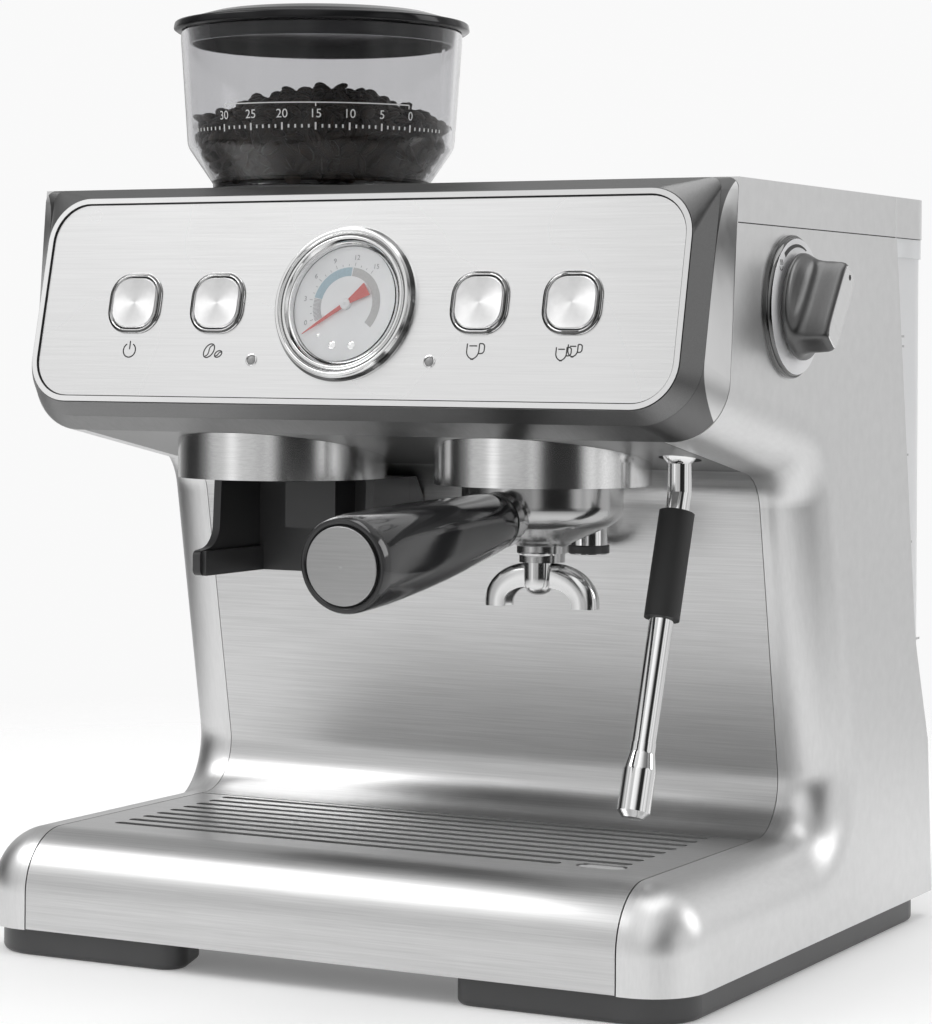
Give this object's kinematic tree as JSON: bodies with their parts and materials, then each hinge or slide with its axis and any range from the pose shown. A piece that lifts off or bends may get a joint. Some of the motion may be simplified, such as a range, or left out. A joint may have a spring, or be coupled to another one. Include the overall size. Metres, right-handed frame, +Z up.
{
  "type": "espresso machine",
  "caption": "Countertop espresso machine with built-in conical burr grinder, brew group, steam wand, drip tray and rear water tank.",
  "frame": {"origin": "middle of the resting face of the plinth, on the machine's centre plane", "axes": "+X to the machine's right as its user sees it from the front, -Y towards the user, +Z up"},
  "size_m": [0.3584, 0.3738, 0.413],
  "materials": {
    "brushed_shell": "satin brushed",
    "brushed_panel": "fine horizontal brush",
    "bright_chrome": "polished",
    "dark_metal": "satin dark grey metallic",
    "black_plastic": "matte",
    "gloss_black": "gloss",
    "works_plastic": "moulded",
    "rubber_black": "matte rubber",
    "smoked_clear": "smoked clear plastic",
    "milky_clear": "translucent",
    "clear_lens": "clear",
    "dial_white": "printed matte",
    "needle_red": "painted",
    "lamp_grey": "diffusing lens",
    "burr_steel": "machined",
    "cast_alloy": "cast",
    "steel_parts": "satin",
    "board_green": "solder mask"
  },
  "bodies": {
    "housing": {"plinth": "black_plastic", "rubber_feet": "rubber_black", "base_plate": "steel_parts", "left_side_shell": "brushed_shell", "right_side_shell": "brushed_shell", "backsplash": "brushed_shell", "head_underside": "dark_metal", "head_collar": "brushed_shell", "bezel": "dark_metal", "trim_ring": "bright_chrome", "front_panel": "brushed_panel", "button_surrounds": "bright_chrome", "indicator_lenses": "lamp_grey", "gauge_case": "bright_chrome", "gauge_dial": "dial_white", "gauge_lens": "clear_lens", "control_board": "board_green", "top_cover": "brushed_shell", "hopper_collar": "black_plastic", "rear_panel": "works_plastic", "power_inlet": "rubber_black", "grinder_housing": "works_plastic", "grinder_motor": "steel_parts", "grind_chute": "black_plastic", "grinder_ring": "brushed_shell", "group_ring": "brushed_shell", "cradle": "black_plastic", "group_head": "cast_alloy", "group_gasket": "rubber_black", "shower_screen": "steel_parts", "boiler": "cast_alloy", "pump": "works_plastic", "steam_valve": "cast_alloy", "knob_plate": "bright_chrome", "hot_water_spout": "bright_chrome"},
    "drip_tray": {"drip_tray": "black_plastic"},
    "drip_grid": {"drip_grid": "brushed_shell"},
    "tray_float": {"tray_float": "bright_chrome"},
    "portafilter": {"portafilter_body": "bright_chrome", "portafilter_handle": "gloss_black", "handle_cap": "brushed_panel", "filter_basket": "steel_parts", "portafilter_spout": "bright_chrome"},
    "power_button": {"power_button": "brushed_panel"},
    "grind_button": {"grind_button": "brushed_panel"},
    "one_cup_button": {"one_cup_button": "brushed_panel"},
    "two_cup_button": {"two_cup_button": "brushed_panel"},
    "gauge_needle": {"gauge_needle": "needle_red"},
    "steam_knob": {"steam_knob": "dark_metal"},
    "steam_wand": {"steam_wand": "bright_chrome", "wand_grip": "rubber_black", "wand_tip": "bright_chrome"},
    "hopper": {"hopper": "smoked_clear", "upper_burr": "burr_steel"},
    "hopper_lid": {"hopper_lid": "gloss_black"},
    "water_tank": {"water_tank": "milky_clear"},
    "tank_lid": {"tank_lid": "brushed_shell"},
    "burr": {"lower_burr": "burr_steel", "burr_gear": "steel_parts"},
    "motor_rotor": {"motor_pinion": "steel_parts"}
  },
  "joints": [
    {"name": "drip_tray_slide", "type": "slide", "parent": "housing", "child": "drip_tray", "axis": [0, -1, 0], "range_m": [0, 0.16]},
    {"name": "drip_grid_lift", "type": "slide", "parent": "drip_tray", "child": "drip_grid", "axis": [0, 0, 1], "range_m": [0, 0.015]},
    {"name": "tray_float_rise", "type": "slide", "parent": "drip_tray", "child": "tray_float", "axis": [0, 0, 1], "range_m": [0, 0.005]},
    {"name": "portafilter_lock", "type": "hinge", "parent": "housing", "child": "portafilter", "pos_m": [0.0635, -0.057, 0.212], "axis": [0, 0, 1], "range_deg": [-45, 0]},
    {"name": "power_button_press", "type": "slide", "parent": "housing", "child": "power_button", "axis": [0, 0.9744, -0.225], "range_m": [0, 0.0016], "stiffness_N_per_m": 500},
    {"name": "grind_button_press", "type": "slide", "parent": "housing", "child": "grind_button", "axis": [0, 0.9744, -0.225], "range_m": [0, 0.0016], "stiffness_N_per_m": 500},
    {"name": "one_cup_button_press", "type": "slide", "parent": "housing", "child": "one_cup_button", "axis": [0, 0.9744, -0.225], "range_m": [0, 0.0016], "stiffness_N_per_m": 500},
    {"name": "two_cup_button_press", "type": "slide", "parent": "housing", "child": "two_cup_button", "axis": [0, 0.9744, -0.225], "range_m": [0, 0.0016], "stiffness_N_per_m": 500},
    {"name": "gauge_needle_turn", "type": "hinge", "parent": "housing", "child": "gauge_needle", "pos_m": [0, -0.11479, 0.28056], "axis": [0, 0.9744, -0.225], "range_deg": [0, 255], "stiffness_Nm_per_rad": 0.0004},
    {"name": "steam_knob_turn", "type": "hinge", "parent": "housing", "child": "steam_knob", "pos_m": [0.1677, -0.038, 0.2805], "axis": [1, 0, 0], "range_deg": [-75, 75]},
    {"name": "steam_wand_swivel", "type": "hinge", "parent": "housing", "child": "steam_wand", "pos_m": [0.127, -0.057, 0.2215], "axis": [0, 0, 1], "range_deg": [-25, 70]},
    {"name": "hopper_turn", "type": "hinge", "parent": "housing", "child": "hopper", "pos_m": [-0.065, -0.025, 0.311], "axis": [0, 0, 1], "range_deg": [-70, 70]},
    {"name": "hopper_lid_lift", "type": "slide", "parent": "hopper", "child": "hopper_lid", "axis": [0, 0, 1], "range_m": [0, 0.06]},
    {"name": "water_tank_lift", "type": "slide", "parent": "housing", "child": "water_tank", "axis": [0, 0, 1], "range_m": [0, 0.24]},
    {"name": "tank_lid_hinge", "type": "hinge", "parent": "water_tank", "child": "tank_lid", "pos_m": [0, 0.145, 0.3136], "axis": [-1, 0, 0], "range_deg": [0, 95]},
    {"name": "burr_spin", "type": "hinge", "parent": "housing", "child": "burr", "pos_m": [-0.065, -0.025, 0.28], "axis": [0, 0, 1], "continuous": true},
    {"name": "motor_spin", "type": "hinge", "parent": "housing", "child": "motor_rotor", "pos_m": [-0.065, 0.001, 0.26], "axis": [0, 0, 1], "continuous": true}
  ],
  "couplings": [
    {"joint": "motor_spin", "follows": "burr_spin", "ratio": -2.25}
  ]
}
